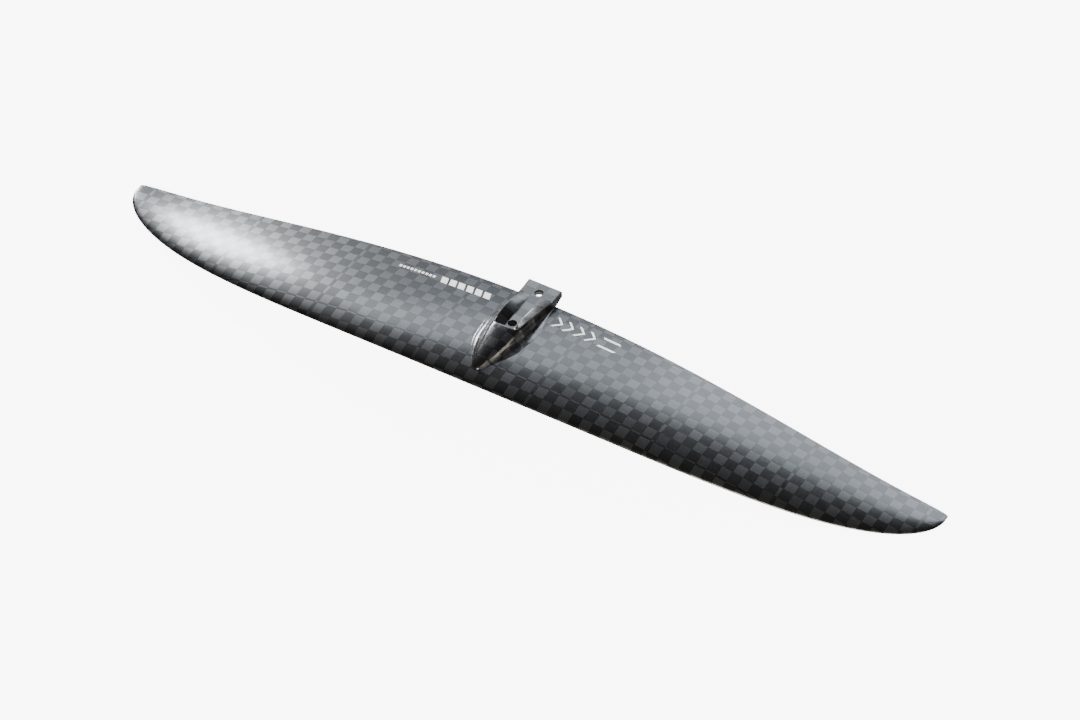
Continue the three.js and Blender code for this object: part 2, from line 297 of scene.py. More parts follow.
def make_sky():
    world = bpy.data.worlds.new("sky")
    world.use_nodes = True
    nodes = world.node_tree.nodes
    links = world.node_tree.links
    nodes.clear()
    place = nodes.new("ShaderNodeTexCoord")
    split = nodes.new("ShaderNodeSeparateXYZ")
    ramp = nodes.new("ShaderNodeValToRGB")
    light = nodes.new("ShaderNodeBackground")
    output = nodes.new("ShaderNodeOutputWorld")
    elements = ramp.color_ramp.elements
    while len(elements) < len(SKY_STEPS):
        elements.new(0.5)
    for element, (height, value) in zip(elements, SKY_STEPS):
        element.position = height
        element.color = (value, value, value, 1.0)
    links.new(place.outputs["Generated"], split.inputs[0])
    links.new(split.outputs["Z"], ramp.inputs[0])
    links.new(ramp.outputs[0], light.inputs["Color"])
    links.new(light.outputs[0], output.inputs["Surface"])
    bpy.context.scene.world = world


make_sky()
print("sky from", SKY_HORIZON, "at the horizon to", SKY_OVERHEAD, "overhead")

# %% Lamps
LAMP_AWAY = 3.2
COOL_WHITE = (0.94, 0.98, 1.0)
BLUE_WHITE = (0.84, 0.92, 1.0)
AMBER_WHITE = (1.0, 0.92, 0.80)
CREAM_WHITE = (1.0, 0.94, 0.86)
GOLD_WHITE = (1.0, 0.90, 0.76)
SOFTBOXES = {
    # name: azimuth, elevation, angular width and height in degrees, radiance, colour
    "key_softbox": (235.0, 22.5, 12.0, 10.0, 60.0, COOL_WHITE),
    "aft_panel": (203.0, 41.0, 42.0, 12.0, 5.0, BLUE_WHITE),
    "low_panel": (204.0, 28.5, 46.0, 11.0, 1.1, BLUE_WHITE),
    "tall_panel": (185.0, 33.0, 14.0, 28.0, 2.4, BLUE_WHITE),
    "front_reflector": (20.0, 12.0, 26.0, 20.0, 30.0, AMBER_WHITE),
    "port_reflector": (65.0, 36.0, 26.0, 20.0, 3.5, CREAM_WHITE),
    "port_strip": (101.0, 20.0, 12.0, 7.0, 26.0, GOLD_WHITE),
}


def make_lamp(name, azimuth, elevation, width, height, radiance, colour):
    """A rectangular softbox that faces the wing and fills the given angles as seen from it."""
    data = bpy.data.lights.new(name, "AREA")
    data.shape = "RECTANGLE"
    data.size = 2 * LAMP_AWAY * math.tan(math.radians(width / 2))
    data.size_y = 2 * LAMP_AWAY * math.tan(math.radians(height / 2))
    data.energy = radiance * math.pi * data.size * data.size_y
    data.color = colour
    lamp = bpy.data.objects.new(name, data)
    direction = sphere_direction(math.radians(azimuth), math.radians(elevation))
    lamp.location = direction * LAMP_AWAY
    lamp.rotation_mode = "QUATERNION"
    lamp.rotation_quaternion = direction.to_track_quat("Z", "Y")
    bpy.context.scene.collection.objects.link(lamp)


for lamp_name, facts in SOFTBOXES.items():
    make_lamp(lamp_name, *facts)
print("lamps:", ", ".join(SOFTBOXES))

# %% [markdown]
# ## Spread-tow carbon
# Spread tow is carbon yarn flattened to ribbons about 11 mm wide and woven over and under one another,
# so the surface shows a checkerboard. Ribbons along the span and ribbons along the chord catch the light
# differently, and that is the whole pattern: no paint. After every eleven ribbons the loom leaves a
# narrow one. A satin-gloss clear coat lies over it. A picture of cloth could be laid over the wing, but
# masks worked out from the place in the cloth stay sharp at any distance. Each point of a piece carries
# that place as an attribute, so the squares keep their size round corners.

# %% The cloth's measures, in millimetres
RIBBON = 10.9
RIBBONS_IN_REPEAT = 11
NARROW_CHORDWISE = 3.6
NARROW_SPANWISE = 1.6
REPEAT_SPAN = RIBBONS_IN_REPEAT * RIBBON + NARROW_CHORDWISE
REPEAT_CHORD = RIBBONS_IN_REPEAT * RIBBON + NARROW_SPANWISE
FIRST_NARROW_SPAN = REPEAT_SPAN / 2 + NARROW_CHORDWISE / 2
FIRST_NARROW_CHORD = 45.3
RIBBON_GAP = 0.35
STREAK_LENGTHWISE = 0.05
STREAK_CROSSWISE = 5.5
CLOTH_ATTRIBUTE = "cloth"


def ribbons(place, repeat, narrow):
    """Index of the ribbon that a place lies in, how far across it from 0 to 1, and its width."""
    along = place.wrap(repeat)
    is_narrow = along < narrow
    counted = (along - narrow) / RIBBON
    wide_index = counted.floor() + 1.0
    wide_across = counted - counted.floor()
    index = wide_index * (1.0 - is_narrow)
    across = is_narrow * (along / narrow) + (1.0 - is_narrow) * wide_across
    width = is_narrow * narrow + (1.0 - is_narrow) * RIBBON
    whole = (place / repeat).floor() * (RIBBONS_IN_REPEAT + 1.0) + index
    return whole, across, width


def chance(bench, first, second, seed):
    """A fixed random number from 0 to 1 for each pair of whole numbers."""
    vector = bench.add("ShaderNodeCombineXYZ", {}, {0: first, 1: second, 2: seed})
    return bench.add("ShaderNodeTexWhiteNoise", {"noise_dimensions": "3D"}, {"Vector": vector})


def filaments(bench, along, across, seed):
    """Fine streaks that run along the ribbon."""
    stretched = {0: along * STREAK_LENGTHWISE, 1: across * STREAK_CROSSWISE, 2: seed}
    vector = bench.add("ShaderNodeCombineXYZ", {}, stretched)
    return bench.add("ShaderNodeTexNoise", {"noise_dimensions": "3D"},
                     {"Vector": vector, "Scale": 1.0, "Detail": 3.0, "Roughness": 0.6})


print("cloth repeats every", round(REPEAT_SPAN, 1), "mm along and", round(REPEAT_CHORD, 1), "mm across")


# %% The weave as a set of masks
SPAN_STREAK_SEED, CHORD_STREAK_SEED, ROW_SEED, COLUMN_SEED, SQUARE_SEED = 1.0, 2.0, 3.0, 4.0, 5.0


def weave(bench):
    """Masks from 0 to 1 at a place in the cloth, and that place itself."""
    cloth = bench.add("ShaderNodeAttribute", {"attribute_name": CLOTH_ATTRIBUTE}, {}, "Vector")
    span = bench.add("ShaderNodeSeparateXYZ", {}, {0: cloth}, 0)
    chord = bench.add("ShaderNodeSeparateXYZ", {}, {0: cloth}, 1)
    column, across_column, column_width = ribbons(span + FIRST_NARROW_SPAN, REPEAT_SPAN, NARROW_CHORDWISE)
    row, across_row, row_width = ribbons(chord + FIRST_NARROW_CHORD, REPEAT_CHORD, NARROW_SPANWISE)
    odd = (column + row).wrap(2.0)
    spanwise_on_top = 1.0 - odd
    edge_column = across_column.least(1.0 - across_column) * column_width
    edge_row = across_row.least(1.0 - across_row) * row_width
    rim = edge_column.least(edge_row)
    gap = 1.0 - (rim / RIBBON_GAP).least(1.0)
    crown_row = 1.0 - (2.0 * across_row - 1.0).math("POWER", 2.0)
    crown_column = 1.0 - (2.0 * across_column - 1.0).math("POWER", 2.0)
    crown = spanwise_on_top * crown_row + odd * crown_column
    spanwise_streak = filaments(bench, span, chord, SPAN_STREAK_SEED)
    chordwise_streak = filaments(bench, chord, span, CHORD_STREAK_SEED)
    row_tone = chance(bench, row, 0.0, ROW_SEED)
    column_tone = chance(bench, 0.0, column, COLUMN_SEED)
    return {
        "span": span,
        "chord": chord,
        "light": spanwise_on_top,
        "gap": gap,
        "crown": crown,
        "streak": spanwise_on_top * spanwise_streak + odd * chordwise_streak,
        "ribbon_tone": spanwise_on_top * row_tone + odd * column_tone,
        "square_tone": chance(bench, column, row, SQUARE_SEED),
    }


# %% Colours of the cloth
DARK_SQUARE = 0.020
LIGHT_SQUARE = 0.066
RIBBON_SPREAD = 0.30
SQUARE_SPREAD = 0.26
STREAK_SPREAD = 0.36
GAP_DARKNESS = 0.65
BLUE_CAST = 1.04


def cloth_tone(cloth):
    """Grey of the cloth: dark and light squares, each a little different, darker in the gaps."""
    square = DARK_SQUARE + (LIGHT_SQUARE - DARK_SQUARE) * cloth["light"]
    base = 1.0 - (RIBBON_SPREAD + SQUARE_SPREAD) / 2
    varied = square * (base + RIBBON_SPREAD * cloth["ribbon_tone"] + SQUARE_SPREAD * cloth["square_tone"])
    streaked = varied * (1.0 - STREAK_SPREAD / 2 + STREAK_SPREAD * cloth["streak"])
    return streaked * (1.0 - GAP_DARKNESS * cloth["gap"])


print("cloth grey from", DARK_SQUARE, "to", LIGHT_SQUARE)

# %% The carbon finish
CLOTH_METALLIC = 0.85
CLOTH_ROUGHNESS = 0.42
STREAK_ROUGHNESS = 0.10
LIGHT_GLOSS = 0.05
COAT_ROUGHNESS = 0.17
CROWN_RELIEF = 0.6
STREAK_RELIEF = 0.25
GAP_RELIEF = 0.8
RELIEF_STRENGTH = 0.22
RELIEF_DEPTH = 0.06 * MM
INK_WHITE = 0.92
INK_ROUGHNESS = 0.45
# Painted light: the strength of the glow given to the white print, which is no lamp.
INK_PAINTED_LIGHT = 1.2


def carbon_material(name, printed=None):
    """Cloth under a clear coat, with white marks where the function given makes a mask of them. The marks
    also glow: painted light that makes the print brighter than the lamps alone would.
    """
    bench = Bench(name)
    cloth = weave(bench)
    tone = cloth_tone(cloth)
    colour = bench.add("ShaderNodeCombineColor", {}, {0: tone, 1: tone, 2: tone * BLUE_CAST})
    roughness = CLOTH_ROUGHNESS + STREAK_ROUGHNESS * (cloth["streak"] - 0.5) - LIGHT_GLOSS * cloth["light"]
    if printed:
        ink = printed(cloth["span"], cloth["chord"])
        colour = bench.mix(ink, colour, grey(INK_WHITE))
        roughness = roughness * (1.0 - ink) + INK_ROUGHNESS * ink
    height = cloth["crown"] * CROWN_RELIEF + cloth["streak"] * STREAK_RELIEF - cloth["gap"] * GAP_RELIEF
    relief = bench.relief(height, RELIEF_STRENGTH, RELIEF_DEPTH)
    finish = {"base_color": colour, "metallic": CLOTH_METALLIC, "roughness": roughness, "normal": relief,
              "coat_weight": 1.0, "coat_roughness": COAT_ROUGHNESS, "ior": 1.5}
    if printed:
        finish["metallic"] = CLOTH_METALLIC * (1.0 - ink)
        # Painted light: the white print glows by itself, brighter than the lamps alone would make it.
        finish["emission_color"] = bench.mix(ink, grey(0.0), grey(INK_PAINTED_LIGHT))
        finish["emission_strength"] = 1.0
    return bench.surface(**finish)


# %% [markdown]
# ## The wing's shape
# The wing is drawn by four laws along the span: how long the chord is, how far the section is swept back,
# how far it droops, and how much it is twisted. A symmetric aerofoil with a touch of camber is laid over
# them. A coarse mesh could be subdivided, but working the surface out point by point from the laws gives
# a smooth skin that is exact everywhere.

# %% Measures read from the frame
upper_low, upper_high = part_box("upper_skin")
TIP_CUT = 0.9985
HALF_SPAN = upper_high[0] / TIP_CUT
ROOT_CHORD = upper_high[1] - upper_low[1]
AFT_SHARE = 0.162
ROOT_REFERENCE = upper_high[1] - AFT_SHARE * ROOT_CHORD
CHORD_PLANE = -9.1 * MM
THICKNESS_RATIO = 0.098
CAMBER_RATIO = 0.004
EDGE_HALF = 0.35 * MM
SKIN = 1.0 * MM
PARTING = 0.04 * MM
PARTING_STEP = 0.02 * MM
print("span", round(2 * HALF_SPAN, 4), "root chord", round(ROOT_CHORD, 4))


# %% Laws along the span
PLAN_POWER = 1.891
TIP_POWER = 2.367
TAPER = 0.103
SWEEP = {2: -8.6, 4: 10.2, 8: 1.2}
DROOP = {2: -70.1, 4: 4.1, 6: 20.5}
ROOT_TWIST = 0.3
TIP_TWIST = 0.76


def polynomial(terms, eta):
    """Sum of the terms, each a power of eta and its size in millimetres."""
    return sum(size * eta ** power for power, size in terms.items()) * MM


def chord_at(eta):
    return ROOT_CHORD * (1 - eta ** PLAN_POWER) ** (1 / TIP_POWER) * (1 - TAPER * eta ** 2)


def reference_at(eta):
    return ROOT_REFERENCE + polynomial(SWEEP, eta)


def droop_at(eta):
    return CHORD_PLANE + polynomial(DROOP, eta)


def twist_at(eta):
    return np.sin(np.radians(ROOT_TWIST + (TIP_TWIST - ROOT_TWIST) * eta ** 2))


def aerofoil(s):
    """Half thickness of the section for a thickness ratio of one, at a share s of the chord."""
    return 5 * (0.2969 * np.sqrt(s) - 0.126 * s - 0.3516 * s ** 2 + 0.2843 * s ** 3 - 0.1036 * s ** 4)


def wing_points(x, s, side, depth=0.0):
    """Points of the upper (side 1) or lower (side -1) surface, or a depth under it down to the parting."""
    eta = np.abs(x) / HALF_SPAN
    chord = chord_at(eta)
    reference = reference_at(eta)
    y = reference - (1 - AFT_SHARE) * chord + s * chord
    half = THICKNESS_RATIO * chord * aerofoil(s) + EDGE_HALF * s ** 6 - depth
    camber = CAMBER_RATIO * chord * 4 * s * (1 - s)
    floor = PARTING + (0.0 if depth else PARTING_STEP)
    z = camber + side * half
    z = side * np.maximum(side * z, floor)
    return np.stack([x + 0 * s, y, droop_at(eta) + z + (y - reference) * twist_at(eta)], axis=-1)


print("tip droop", round(float(droop_at(1.0) - CHORD_PLANE), 4))


# %% [markdown]
# ## Skins
# Each skin is a thin moulded shell. A solidify modifier could thicken a sheet, but it would swell the sharp
# trailing edge. So the shell is an outer sheet of points, an inner sheet one laminate below, and a rim that
# joins them. The stations crowd together at the tips and at the leading edge, where the form turns fast.

# %% Cloth coordinates
CLOTH_START = -33.0
CLOTH_STRETCH = 0.98
CLOTH_CREEP = 0.00099


def cloth_chordwise(y_mm):
    """Place along the chord in the cloth. It is drawn a little tighter towards the trailing edge."""
    past = y_mm - CLOTH_START
    return past / CLOTH_STRETCH + CLOTH_CREEP * past ** 2


def flat_cloth(points):
    """Places in the cloth for points of a skin, which is flat enough to take them from above."""
    places = np.zeros_like(points)
    places[..., 0] = points[..., 0] / MM
    places[..., 1] = cloth_chordwise(points[..., 1] / MM)
    return places


# %% Mesh from sheets
def sheet_faces(rows, columns, start, flip):
    faces = []
    for i in range(rows - 1):
        for j in range(columns - 1):
            a = start + i * columns + j
            corners = (a, a + 1, a + columns + 1, a + columns)
            faces.append(corners[::-1] if flip else corners)
    return faces


def rim_faces(rows, columns, start):
    """Faces between the borders of two sheets, the second one starting at the given point."""
    loop = list(range(columns))
    loop += [i * columns + columns - 1 for i in range(1, rows)]
    loop += [(rows - 1) * columns + j for j in range(columns - 2, -1, -1)]
    loop += [i * columns for i in range(rows - 2, 0, -1)]
    return [(a, a + start, b + start, b) for a, b in zip(loop, loop[1:] + loop[:1])]


def make_piece(name, points, faces, cloth, material):
    mesh = bpy.data.meshes.new(name)
    mesh.from_pydata([tuple(point) for point in points.reshape(-1, 3)], [], faces)
    layer = mesh.attributes.new(CLOTH_ATTRIBUTE, "FLOAT_VECTOR", "POINT")
    layer.data.foreach_set("vector", cloth.reshape(-1).astype(np.float32))
    mesh.materials.append(material)
    mesh.validate()
    shaped = bmesh.new()
    shaped.from_mesh(mesh)
    bmesh.ops.recalc_face_normals(shaped, faces=shaped.faces)
    shaped.to_mesh(mesh)
    shaped.free()
    piece = bpy.data.objects.new(name, mesh)
    bpy.context.scene.collection.objects.link(piece)
    return piece


CREASE_ANGLE = 35.0


def smooth(piece, angle=CREASE_ANGLE):
    """Smooth shading, kept crisp where faces meet more sharply than the angle."""
    mesh = piece.data
    mesh.shade_smooth()
    mesh.set_sharp_from_angle(angle=math.radians(angle))


# %% Skin shells
SPAN_STATIONS = 241
CHORD_STATIONS = 65


def skin_piece(name, side, material):
    """The upper (side 1) or lower (side -1) skin, tip to tip."""
    turn = np.linspace(-1, 1, SPAN_STATIONS) * math.asin(TIP_CUT)
    x = (HALF_SPAN * np.sin(turn))[:, None]
    s = ((1 - np.cos(np.linspace(0, math.pi, CHORD_STATIONS))) / 2)[None, :]
    outer = wing_points(x, s, side)
    inner = wing_points(x, s, side, SKIN)
    points = np.stack([outer, inner])
    count = SPAN_STATIONS * CHORD_STATIONS
    faces = sheet_faces(SPAN_STATIONS, CHORD_STATIONS, 0, False)
    faces += sheet_faces(SPAN_STATIONS, CHORD_STATIONS, count, True)
    faces += rim_faces(SPAN_STATIONS, CHORD_STATIONS, count)
    return make_piece(name, points, faces, flat_cloth(points), material)


print("points in a skin:", 2 * SPAN_STATIONS * CHORD_STATIONS)


# %% [markdown]
# ## Printed marks
# White marks are printed under the clear coat, near the trailing edge: a row of slanted blocks with small
# dashes after it to starboard, and nested chevrons and two bars to port. They could be separate pieces laid
# on the skin, but print has no thickness, so they are masks in the cloth's own millimetres.

# %% Marks as masks
# Rows, and the chevrons' middle, are places along the chord. The rest is measured in the cloth.
BLOCK_ROWS = (-2.0, 6.6)
BLOCK_SPAN = (-94.0, -37.0)
BLOCK_PITCH, BLOCK_WIDTH, BLOCK_SLANT = 9.5, 7.0, 0.30
DASH_ROWS = (1.0, 4.2)
DASH_SPAN = (-143.0, -101.0)
DASH_PITCH, DASH_WIDTH = 4.2, 2.7
CHEVRON_MIDDLE, CHEVRON_HALF, CHEVRON_SLANT = 4.5, 8.0, 0.9
CHEVRON_SPAN = (36.0, 84.0)
CHEVRON_PITCH, CHEVRON_WIDTH = 12.0, 2.6
BAR_SPAN = (86.0, 104.0)
BAR_INNER = 5.4


def between(value, low, high):
    return (value > low) * (value < high)


def printed_marks(span, chord):
    """Mask of the white marks at a place in the cloth."""
    block_low, block_high = (cloth_chordwise(row) for row in BLOCK_ROWS)
    slanted = span + BLOCK_SLANT * (chord - block_low)
    in_blocks = between(chord, block_low, block_high) * between(slanted, *BLOCK_SPAN)
    blocks = in_blocks * ((slanted - BLOCK_SPAN[0]).wrap(BLOCK_PITCH) < BLOCK_WIDTH)
    dash_low, dash_high = (cloth_chordwise(row) for row in DASH_ROWS)
    in_dashes = between(chord, dash_low, dash_high) * between(span, *DASH_SPAN)
    dashes = in_dashes * ((span - DASH_SPAN[0]).wrap(DASH_PITCH) < DASH_WIDTH)
    bend = abs(chord - cloth_chordwise(CHEVRON_MIDDLE))
    pointed = span + bend * CHEVRON_SLANT
    in_chevrons = (bend < CHEVRON_HALF) * between(pointed, *CHEVRON_SPAN)
    chevrons = in_chevrons * ((pointed - CHEVRON_SPAN[0]).wrap(CHEVRON_PITCH) < CHEVRON_WIDTH)
    in_bars = (bend < CHEVRON_HALF) * between(pointed, *BAR_SPAN)
    bars = in_bars * (bend > BAR_INNER)
    return blocks.most(dashes).most(chevrons).most(bars)


marked_carbon = carbon_material("spread_tow_printed", printed_marks)
plain_carbon = carbon_material("spread_tow_plain")

upper_skin = skin_piece("upper_skin_shell", 1, marked_carbon)
lower_skin = skin_piece("lower_skin_shell", -1, plain_carbon)
for skin_object, node in ((upper_skin, "upper_skin"), (lower_skin, "lower_skin")):
    smooth(skin_object)
    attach(skin_object, "root")
    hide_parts(node)
print("skin faces:", len(upper_skin.data.polygons))

# %% [markdown]
# ## The cradle
# The cradle is a blunt bullet faired into the wing, with a trough for the fuselage: a flat strip 10 mm
# wide, and a flank on each side that starts steep at the front wall and flattens out towards the tail.
# It could be cut from a block with booleans, but their edges would be ragged under a gloss coat. Here it
# is lofted from cross-sections. Each section is walked from the fillet's foot up the wall and over the
# shoulder to the rim, and then down the flank to the strip, so the crisp edges fall on mesh lines and a
# bevel can round them.

# %% Cradle measures, in millimetres
cradle_low, cradle_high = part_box("fuselage_cradle")
NOSE_TIP = cradle_low[1] / MM
CRADLE_REAR = cradle_high[1] / MM
CROWN = cradle_high[2] / MM
HALF_WIDTH = 18.25
FRONT_WALL = -38.5
FULL_WIDTH_FROM = -30.0
SHOULDER_WIDTH = 16.5
SHOULDER_HEIGHT = 5.0
SHOULDER_POWER = 0.7
SHOULDER_ROOM = 0.98
LEAST_SHOULDER = 0.05
WALL_LEAN = 1.5
LEAN_FADE_FROM = 10.0
NOSE_PLAN_POWER = 0.4
NOSE_CROWN_POWER = 0.55
NOSE_TIP_HALF = 0.3
NOSE_TIP_RISE = 0.2
FILLET_REACH = 9.0
FILLET_LEAST = 0.4
FILLET_RAMP = 40.0
FILLET_RISE = 0.5
STRIP_HALF = 5.0
FLANK_TWIST = 0.0168
FLANK_END = 19.5
FLANK_EASE = 0.03
WALL_BOW = 2.5
WALL_BOW_REACH = 13.5
WALL_BOW_FADE = 6.0
TRAILING_EDGE = upper_high[1] / MM
TAIL_RISE = 4.0
SETTLE = 0.05


def share_between(value, low, high):
    """How far a value lies from low to high, kept from 0 to 1."""
    return min(max((value - low) / (high - low), 0.0), 1.0)


def blend_in(value, low, high):
    """Smooth step from 0 at low to 1 at high."""
    share = share_between(value, low, high)
    return share * share * (3 - 2 * share)


def mix_between(first, second, share):
    return first + (second - first) * share


print("cradle from", round(NOSE_TIP, 1), "to", round(CRADLE_REAR, 1), "mm, crown at", round(CROWN, 1), "mm")


# %% Cradle laws along the chord
def wing_top(x_mm, y_mm):
    """Height of the wing's upper surface under a point of the cradle, in millimetres."""
    eta = abs(x_mm * MM) / HALF_SPAN
    chord = chord_at(eta)
    leading = reference_at(eta) - (1 - AFT_SHARE) * chord
    s = share_between(y_mm * MM, leading, leading + chord)
    return wing_points(np.float64(x_mm * MM), np.float64(s), 1)[2] / MM


def cradle_underside(y):
    return CHORD_PLANE / MM + TAIL_RISE * share_between(y, TRAILING_EDGE, CRADLE_REAR)


def half_width_at(y):
    return HALF_WIDTH * share_between(y, NOSE_TIP, FULL_WIDTH_FROM) ** NOSE_PLAN_POWER


def nose_share_at(y):
    """From 0 at the front wall to 1 at the tip of the nose."""
    return 1 - share_between(y, NOSE_TIP, FRONT_WALL)


def fillet_at(y):
    grow = blend_in(y, NOSE_TIP, NOSE_TIP + FILLET_RAMP)
    fade = 1 - blend_in(y, FULL_WIDTH_FROM, TRAILING_EDGE)
    return FILLET_LEAST + (FILLET_REACH - FILLET_LEAST) * grow * fade


def lean_at(y):
    """How far the side wall leans in between its foot and its shoulder."""
    fade = 1 - blend_in(y, LEAN_FADE_FROM, CRADLE_REAR)
    return WALL_LEAN * fade * half_width_at(y) / HALF_WIDTH


def flank_slope_at(y):
    """Rise of the trough's flank for each millimetre across, easing to nothing at its end."""
    slope = FLANK_TWIST * (FLANK_END - y)
    return (slope + math.hypot(slope, FLANK_EASE)) / 2


print("flank slope at the front wall:", round(flank_slope_at(FRONT_WALL), 3))


# %% One cross-section
FILLET_ARC_STEPS = 16
SHOULDER_ARC_STEPS = 24
OUTLINE_STEPS = 400
LEAST_CLIMB = 40
FILLET_STEPS = 8
WALL_STEPS = 16
FLANK_STEPS = 10
STRIP_STEPS = 4
SIDE_EASING = 8


def quarter(centre_x, centre_z, radius_x, radius_z, start, steps):
    """Points along a quarter of an ellipse."""
    angles = start + np.linspace(0, math.pi / 2, steps + 1)
    return np.stack([centre_x + radius_x * np.cos(angles), centre_z + radius_z * np.sin(angles)], axis=-1)


def walk(path, steps):
    """Points at even steps along a polyline, its two ends included."""
    lengths = np.concatenate([[0.0], np.cumsum(np.linalg.norm(np.diff(path, axis=0), axis=1))])
    wanted = np.linspace(0, lengths[-1], steps + 1)
    return np.stack([np.interp(wanted, lengths, path[:, k]) for k in range(2)], axis=-1)


def outer_outline(y):
    """Half section from the fillet's foot to the crown's middle: the fillet, and the wall with shoulder."""
    half = max(half_width_at(y), NOSE_TIP_HALF)
    reach = fillet_at(y)
    behind = y > TRAILING_EDGE
    foot = cradle_underside(y) if behind else wing_top(half + reach, y)
    rise = reach * FILLET_RISE
    share = nose_share_at(y)
    top = mix_between(foot, CROWN, (1 - share) ** NOSE_CROWN_POWER) + NOSE_TIP_RISE * share
    upper_half = half - lean_at(y)
    wanted_width = mix_between(SHOULDER_WIDTH, half, share ** SHOULDER_POWER)
    radius_x = min(wanted_width, SHOULDER_ROOM * upper_half)
    radius_z = max(LEAST_SHOULDER, min(SHOULDER_HEIGHT, SHOULDER_ROOM * (top - foot - rise)))
    fillet = quarter(half + reach, foot + rise, reach, rise, math.pi, FILLET_ARC_STEPS)[::-1]
    shoulder = quarter(upper_half - radius_x, top - radius_z, radius_x, radius_z, 0.0, SHOULDER_ARC_STEPS)
    wall = np.concatenate([fillet[-1:], shoulder, [[0.0, top]]])
    return fillet, wall


def rim_step(wall, slope):
    """The step along the wall's finely divided outline at which the flank cuts it."""
    fine = walk(wall, OUTLINE_STEPS)
    above = fine[:, 1] > slope * (fine[:, 0] - STRIP_HALF)
    return max(int(np.argmax(above)), LEAST_CLIMB)


RIM_AT_WALL = rim_step(outer_outline(FRONT_WALL)[1], flank_slope_at(FRONT_WALL))


def eased(points, rounds):
    """Rounds off a line of points, and keeps its two ends."""
    for _ in range(rounds):
        points[1:-1] = 0.25 * points[:-2] + 0.5 * points[1:-1] + 0.25 * points[2:]
    return points


def half_section(y, cut):
    """Half section as x, z rows, foot first. Behind the front wall the trough is cut out of it."""
    fillet, wall = outer_outline(y)
    rim = rim_step(wall, flank_slope_at(y)) if cut else RIM_AT_WALL
    fine = walk(wall, OUTLINE_STEPS)
    climb = walk(fine[:rim + 1], WALL_STEPS)
    if cut:
        flank = walk(np.array([fine[rim], [STRIP_HALF, 0.0]]), FLANK_STEPS)
        strip = walk(np.array([[STRIP_HALF, 0.0], [0.0, 0.0]]), STRIP_STEPS)
        inside = np.concatenate([flank[1:], strip[1:]])
    else:
        inside = walk(fine[rim:], FLANK_STEPS + STRIP_STEPS)[1:]
    side = eased(np.concatenate([walk(fillet, FILLET_STEPS), climb[1:]]), SIDE_EASING)
    return np.concatenate([side, inside])


print("points in a half section:", len(half_section(0.0, True)))


# %% Cradle mesh
NOSE_ROWS = 44
BODY_ROWS = 52
TAIL_ROWS = 10
TIP_INSET = 0.02


def cradle_rows():
    """Places along the chord, each with whether the trough is cut there."""
    turn = np.linspace(0.0, 1.0, NOSE_ROWS)
    first = NOSE_TIP + TIP_INSET
    nose = first + (FRONT_WALL - first) * (1 - np.cos(turn * math.pi / 2))
    body = np.linspace(FRONT_WALL, TRAILING_EDGE, BODY_ROWS)
    tail = np.linspace(TRAILING_EDGE, CRADLE_REAR, TAIL_ROWS)[1:]
    return [(y, False) for y in nose] + [(y, True) for y in body] + [(y, True) for y in tail]


def bowed(x, y):
    """The front wall curves back at its ends, and the rows beside it follow less and less."""
    near = max(0.0, 1 - abs(y - FRONT_WALL) / WALL_BOW_FADE)
    return y + WALL_BOW * near * min(abs(x) / WALL_BOW_REACH, 1.0) ** 3


def cradle_sheets():
    """Rows of points over the top and under the base, and the place of each in the cloth."""
    top, cloth, bottom = [], [], []
    for y, cut in cradle_rows():
        half = half_section(y, cut)
        paces = np.linalg.norm(np.diff(half[::-1], axis=0), axis=1)
        run = np.concatenate([[0.0], np.cumsum(paces)])[::-1]
        full = np.concatenate([half * (-1, 1), half[-2::-1]])
        across = np.concatenate([-run, run[-2::-1]])
        top.append([(x, bowed(x, y), z) for x, z in full])
        cloth.append([(u, cloth_chordwise(y), 0.0) for u in across])
        spread = np.linspace(full[0][0], full[-1][0], len(full))
        if y > TRAILING_EDGE:
            bottom.append([(x, y, cradle_underside(y)) for x in spread])
        else:
            bottom.append([(x, y, wing_top(x, y) - SETTLE) for x in spread])
    return np.array(top) * MM, np.array(bottom) * MM, np.array(cloth)


def cradle_piece(name, material):
    top, bottom, cloth = cradle_sheets()
    rows, columns = top.shape[:2]
    points = np.stack([top, bottom])
    faces = sheet_faces(rows, columns, 0, False)
    faces += sheet_faces(rows, columns, rows * columns, True)
    faces += rim_faces(rows, columns, rows * columns)
    return make_piece(name, points, faces, np.stack([cloth, cloth]), material)


def apply_modifiers(piece):
    """Bakes a piece's modifiers into its mesh."""
    graph = bpy.context.evaluated_depsgraph_get()
    finished = bpy.data.meshes.new_from_object(piece.evaluated_get(graph), preserve_all_data_layers=True,
                                               depsgraph=graph)
    piece.modifiers.clear()
    piece.data = finished


# %% Cradle with softened edges
EDGE_WIDTH = 0.3 * MM
EDGE_SEGMENTS = 2
EDGE_ANGLE = math.radians(28)

cradle = cradle_piece("cradle_shell", carbon_material("spread_tow_cradle"))
softened = cradle.modifiers.new("edges", "BEVEL")
softened.width = EDGE_WIDTH
softened.segments = EDGE_SEGMENTS
softened.limit_method = "ANGLE"
softened.angle_limit = EDGE_ANGLE
apply_modifiers(cradle)
print("cradle faces:", len(cradle.data.polygons))

# %% [markdown]
# ## Bolt holes and their seats
# Two screws come up from below, through the wing and into the fuselage. A stainless seat in a pocket of
# the underside takes each screw's head. The bores could be modelled into every sheet, but a hole that runs
# through three pieces lines up best when one turned cutter opens the bore and the pocket in all of them.
# The seat is a turned form too.

# %% Turned forms
BORE_RADIUS = 4.15
BORE_CHAMFER = 0.3
TURN_STEPS = 96


